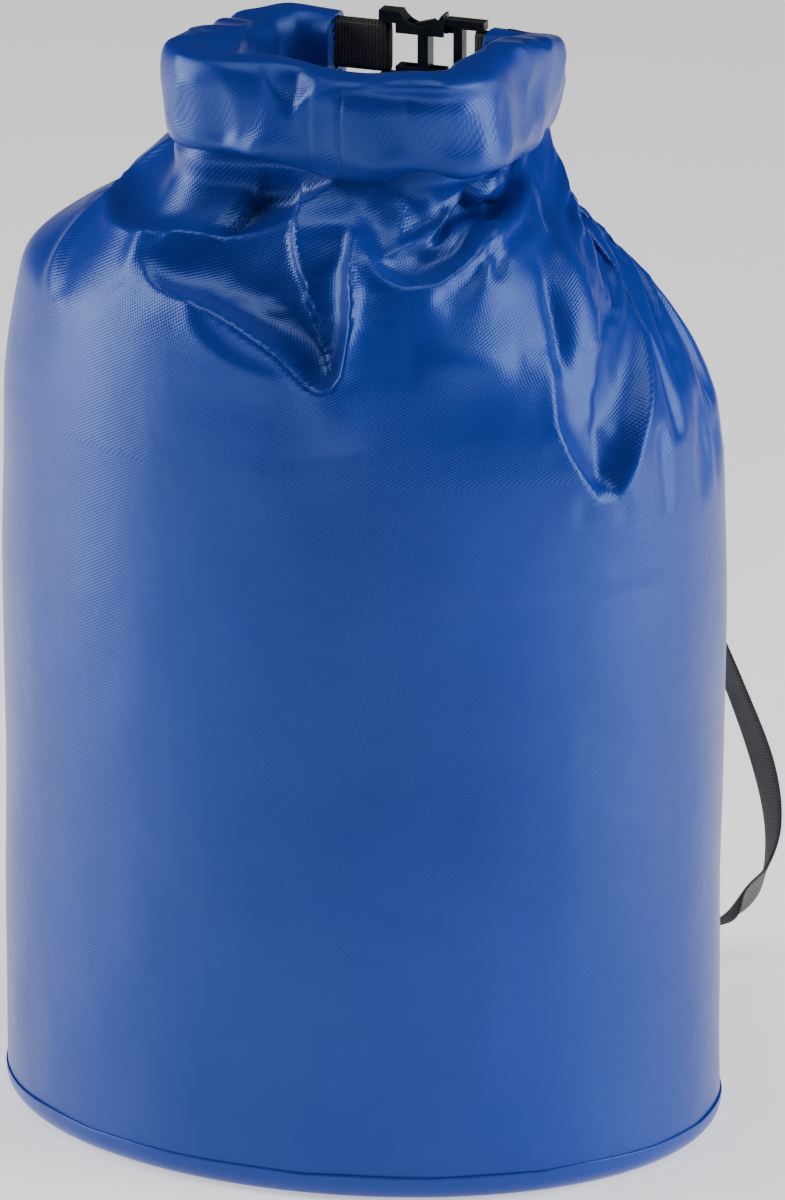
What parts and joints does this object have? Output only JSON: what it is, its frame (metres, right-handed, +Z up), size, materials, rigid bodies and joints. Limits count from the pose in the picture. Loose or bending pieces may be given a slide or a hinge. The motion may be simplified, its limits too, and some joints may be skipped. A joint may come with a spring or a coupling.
{
  "type": "roll-top dry bag",
  "caption": "Stuffed roll-top dry bag of welded tarpaulin, its collar rolled into a ring and clipped at the back, with webbing shoulder straps.",
  "frame": {"origin": "middle of the base panel's underside, which stands on the floor", "axes": "+Z up, the front faces -Y, the shoulder straps and the buckle are on the +Y side"},
  "size_m": [0.3, 0.3408, 0.4581],
  "materials": {
    "tarpaulin": "satin",
    "tarpaulin_patch": "satin",
    "strip": "matte",
    "webbing": "matte",
    "thread": "matte",
    "buckle_plastic": "satin"
  },
  "bodies": {
    "shell": {"side_wall": "tarpaulin", "base_panel": "tarpaulin", "collar_roll": "tarpaulin", "stiffening_strip": "strip", "closure_webbing_left": "webbing", "closure_webbing_right": "webbing", "buckle_male": "buckle_plastic", "top_patch": "tarpaulin_patch", "bottom_patch_left": "tarpaulin_patch", "bottom_patch_right": "tarpaulin_patch", "top_tab_left": "webbing", "top_tab_right": "webbing", "bottom_tab_left": "webbing", "bottom_tab_right": "webbing", "top_stitching_left": "thread", "top_stitching_right": "thread", "bottom_stitching_left": "thread", "bottom_stitching_right": "thread"},
    "female_half": {"buckle_female": "buckle_plastic"},
    "upper_prong": {"prong_upper": "buckle_plastic"},
    "lower_prong": {"prong_lower": "buckle_plastic"},
    "left_strap": {"strap_left": "webbing"},
    "right_strap": {"strap_right": "webbing"}
  },
  "joints": [
    {"name": "buckle_release", "type": "slide", "parent": "shell", "child": "female_half", "axis": [-1, 0, 0], "range_m": [0, 0.017], "deforming": ["closure_webbing_left", "prong_upper", "prong_lower"]},
    {"name": "upper_prong_squeeze", "type": "hinge", "parent": "shell", "child": "upper_prong", "pos_m": [0.0202, 0.054, 0.44305], "axis": [0, -1, 0], "range_deg": [0, 9], "stiffness_Nm_per_rad": 0.5},
    {"name": "lower_prong_squeeze", "type": "hinge", "parent": "shell", "child": "lower_prong", "pos_m": [0.0202, 0.054, 0.42305], "axis": [0, 1, 0], "range_deg": [0, 9], "stiffness_Nm_per_rad": 0.5},
    {"name": "left_strap_swing", "type": "hinge", "parent": "shell", "child": "left_strap", "pos_m": [-0.032, 0.13437, 0.271], "axis": [0.2562, 0.0853, 0.9629], "range_deg": [0, 120]},
    {"name": "right_strap_swing", "type": "hinge", "parent": "shell", "child": "right_strap", "pos_m": [0.032, 0.13437, 0.271], "axis": [-0.2562, 0.0853, 0.9629], "range_deg": [-50, 0]}
  ]
}
